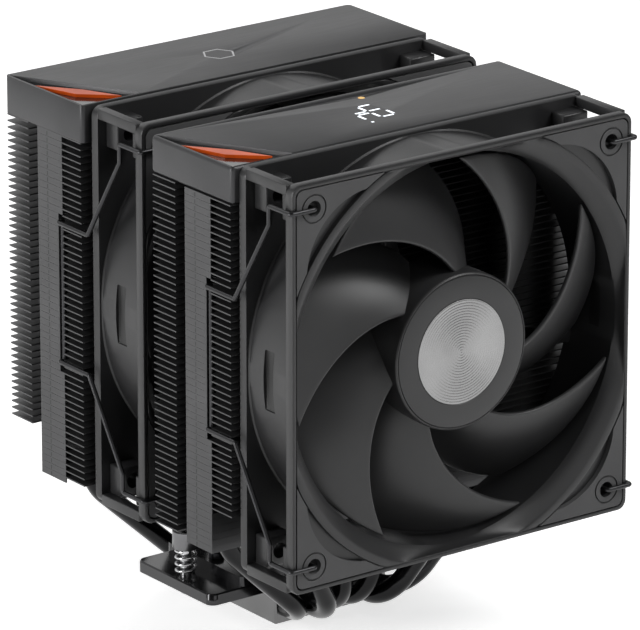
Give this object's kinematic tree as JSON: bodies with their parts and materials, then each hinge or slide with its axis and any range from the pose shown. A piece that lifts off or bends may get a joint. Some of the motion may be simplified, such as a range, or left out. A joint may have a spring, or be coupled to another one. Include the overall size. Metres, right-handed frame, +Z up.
{
  "type": "cpu tower cooler",
  "caption": "Tower cooler for a computer processor: finned stacks on bent heat pipes, wire-clipped fans, angled lids and a sprung mounting bar over a flat cold plate.",
  "frame": {"origin": "centre of the cold plate's underside, where it presses on the processor", "axes": "+Z up, away from the processor; -Y towards the front fan, which draws air in; +X to the right seen from the front"},
  "size_m": [0.1274, 0.1384, 0.157],
  "materials": {
    "plate_metal": "nickel-plated copper",
    "bar_metal": "polished black plating",
    "screw_steel": "black oxide",
    "spring_steel": "bright drawn wire",
    "cap_steel": "bright turned",
    "pipe_metal": "glossy black plated copper",
    "fin_metal": "satin black coating",
    "lid_plastic": "fine brushed black",
    "bezel_plastic": "gloss black",
    "accent_plastic": "glossy orange red",
    "lit_digits": "lit white",
    "lamp_amber": "lit amber",
    "mark_print": "pale grey print",
    "board": "solder mask",
    "frame_plastic": "fine matt moulding",
    "blade_plastic": "satin moulding",
    "pad_rubber": "matt grey rubber",
    "disc_metal": "circular-turned bright face",
    "shaft_steel": "ground",
    "bearing_metal": "sintered bronze",
    "magnet": "bonded ferrite",
    "core_steel": "laminated sheet",
    "copper_wire": "enamelled wire",
    "label_film": "printed film",
    "clip_wire": "black coated spring wire"
  },
  "bodies": {
    "cooler": {"base_block": "plate_metal", "block_screws": "screw_steel", "clamp_plate": "bar_metal", "clamp_screws": "screw_steel", "cold_plate": "plate_metal", "display_board": "board", "display_digits": "lit_digits", "front_accent": "accent_plastic", "front_bearing_sleeve": "bearing_metal", "front_corner_bezel": "bezel_plastic", "front_fan_board": "board", "front_fan_frame": "frame_plastic", "front_fan_label": "label_film", "front_fan_pads": "pad_rubber", "front_fin_stack": "fin_metal", "front_lid": "lid_plastic", "front_stator_coils": "copper_wire", "front_stator_core": "core_steel", "heat_pipe_1": "pipe_metal", "heat_pipe_2": "pipe_metal", "heat_pipe_3": "pipe_metal", "heat_pipe_4": "pipe_metal", "heat_pipe_5": "pipe_metal", "heat_pipe_6": "pipe_metal", "left_spring": "spring_steel", "middle_bearing_sleeve": "bearing_metal", "middle_fan_board": "board", "middle_fan_frame": "frame_plastic", "middle_fan_label": "label_film", "middle_fan_pads": "pad_rubber", "middle_stator_coils": "copper_wire", "middle_stator_core": "core_steel", "mount_bar": "bar_metal", "rear_accent": "accent_plastic", "rear_corner_bezel": "bezel_plastic", "rear_fin_stack": "fin_metal", "rear_lid": "lid_plastic", "rear_lid_mark": "mark_print", "right_spring": "spring_steel", "status_lamp": "lamp_amber"},
    "front_rotor": {"front_impeller": "blade_plastic", "front_hub_disc": "disc_metal", "front_fan_shaft": "shaft_steel", "front_rotor_magnet": "magnet"},
    "middle_rotor": {"middle_impeller": "blade_plastic", "middle_hub_disc": "disc_metal", "middle_fan_shaft": "shaft_steel", "middle_rotor_magnet": "magnet"},
    "left_plunger": {"left_spring_cap": "cap_steel"},
    "right_plunger": {"right_spring_cap": "cap_steel"},
    "left_driver": {"left_spring_screw": "screw_steel"},
    "right_driver": {"right_spring_screw": "screw_steel"},
    "front_left_wire": {"front_left_clip": "clip_wire"},
    "front_right_wire": {"front_right_clip": "clip_wire"},
    "middle_left_wire": {"middle_left_clip": "clip_wire"},
    "middle_right_wire": {"middle_right_clip": "clip_wire"}
  },
  "joints": [
    {"name": "front_rotor_spin", "type": "hinge", "parent": "cooler", "child": "front_rotor", "pos_m": [0, -0.06895, 0.097], "axis": [0, 1, 0], "continuous": true},
    {"name": "middle_rotor_spin", "type": "hinge", "parent": "cooler", "child": "middle_rotor", "pos_m": [0, 0.00265, 0.097], "axis": [0, 1, 0], "continuous": true},
    {"name": "left_spring_press", "type": "slide", "parent": "cooler", "child": "left_plunger", "axis": [0, 0, -1], "range_m": [0, 0.003], "stiffness_N_per_m": 400, "springref_m": -0.002, "deforming": ["left_spring"]},
    {"name": "left_screw_turn", "type": "hinge", "parent": "left_plunger", "child": "left_driver", "pos_m": [-0.039, 0, 0.02], "axis": [0, 0, 1], "continuous": true},
    {"name": "right_spring_press", "type": "slide", "parent": "cooler", "child": "right_plunger", "axis": [0, 0, -1], "range_m": [0, 0.003], "stiffness_N_per_m": 400, "springref_m": -0.002, "deforming": ["right_spring"]},
    {"name": "right_screw_turn", "type": "hinge", "parent": "right_plunger", "child": "right_driver", "pos_m": [0.039, 0, 0.02], "axis": [0, 0, 1], "continuous": true},
    {"name": "front_left_clip_swing", "type": "hinge", "parent": "cooler", "child": "front_left_wire", "pos_m": [-0.0525, -0.0817, 0.097], "axis": [0, 0, 1], "range_deg": [0, 25]},
    {"name": "front_right_clip_swing", "type": "hinge", "parent": "cooler", "child": "front_right_wire", "pos_m": [0.0525, -0.0817, 0.097], "axis": [0, 0, -1], "range_deg": [0, 25]},
    {"name": "middle_left_clip_swing", "type": "hinge", "parent": "cooler", "child": "middle_left_wire", "pos_m": [-0.0525, -0.0101, 0.097], "axis": [0, 0, 1], "range_deg": [0, 25]},
    {"name": "middle_right_clip_swing", "type": "hinge", "parent": "cooler", "child": "middle_right_wire", "pos_m": [0.0525, -0.0101, 0.097], "axis": [0, 0, -1], "range_deg": [0, 25]}
  ]
}
